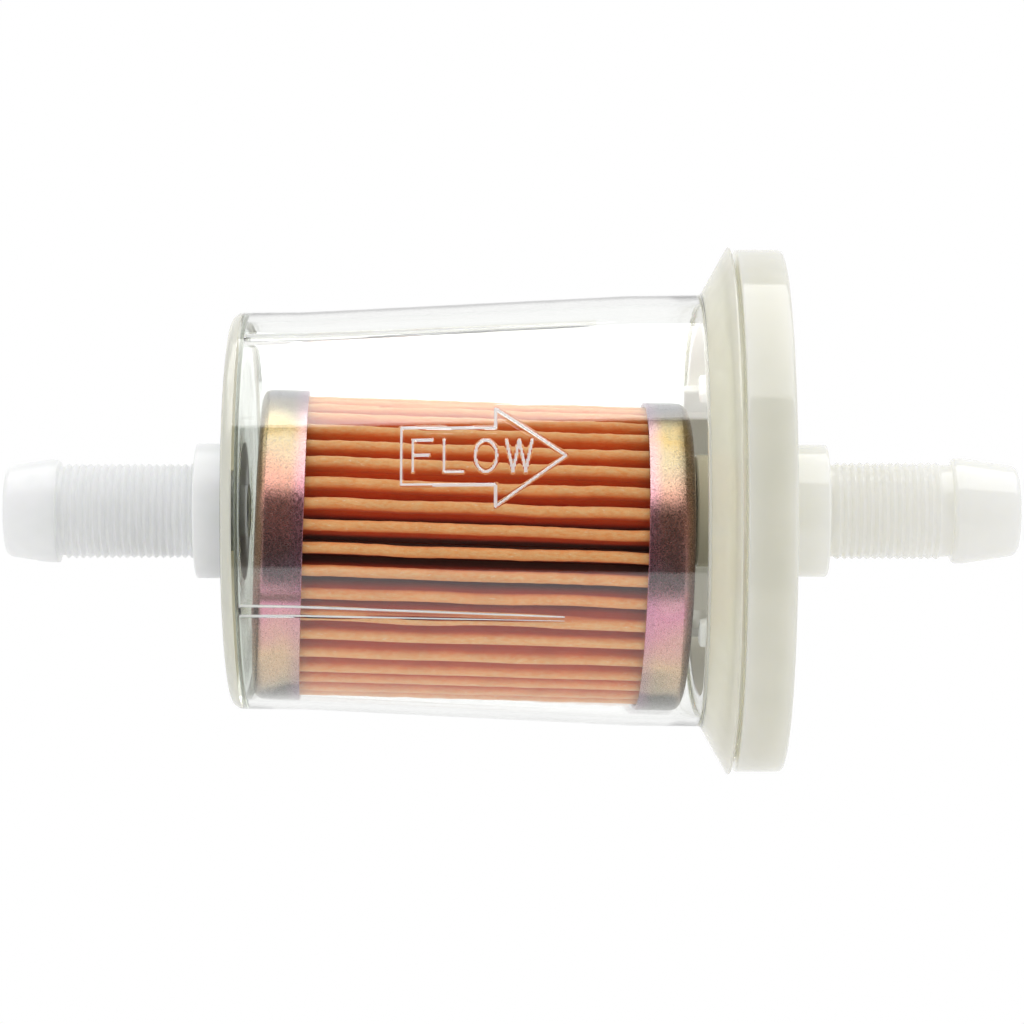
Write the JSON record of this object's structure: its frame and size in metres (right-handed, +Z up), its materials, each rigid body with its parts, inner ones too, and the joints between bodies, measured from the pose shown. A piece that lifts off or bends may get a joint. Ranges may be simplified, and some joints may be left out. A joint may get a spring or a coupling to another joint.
{
  "type": "in-line fuel filter",
  "caption": "Clear tapered in-line fuel filter with hose barbs, a milky end cover and a loose pleated paper element between plated steel caps.",
  "frame": {"origin": "centre of the whole filter, on its axis, halfway between the two barb tips", "axes": "+X along the axis with the flow, from inlet to outlet; +Z up; the flow mark faces -Y"},
  "size_m": [0.087, 0.0452, 0.0452],
  "materials": {
    "clear_plastic": "clear polished moulding, slightly hazy at the nipple",
    "milky_nylon": "satin translucent cream moulding",
    "plated_steel": "bright iridescent yellow plating",
    "filter_paper": "matte resin-treated pleated paper",
    "potting": "set adhesive",
    "core_steel": "bare tinned steel",
    "black_rubber": "matte"
  },
  "bodies": {
    "housing": {"bowl": "clear_plastic", "end_cover": "milky_nylon"},
    "element": {"inlet_cap": "plated_steel", "outlet_cap": "plated_steel", "pleated_paper": "filter_paper", "seam_clip": "core_steel", "center_tube": "core_steel", "inlet_potting": "potting", "outlet_potting": "potting", "outlet_grommet": "black_rubber"}
  },
  "joints": [
    {"name": "element_lift", "type": "slide", "parent": "housing", "child": "element", "axis": [0, 0, 1], "range_m": [0, 0.0058]}
  ]
}
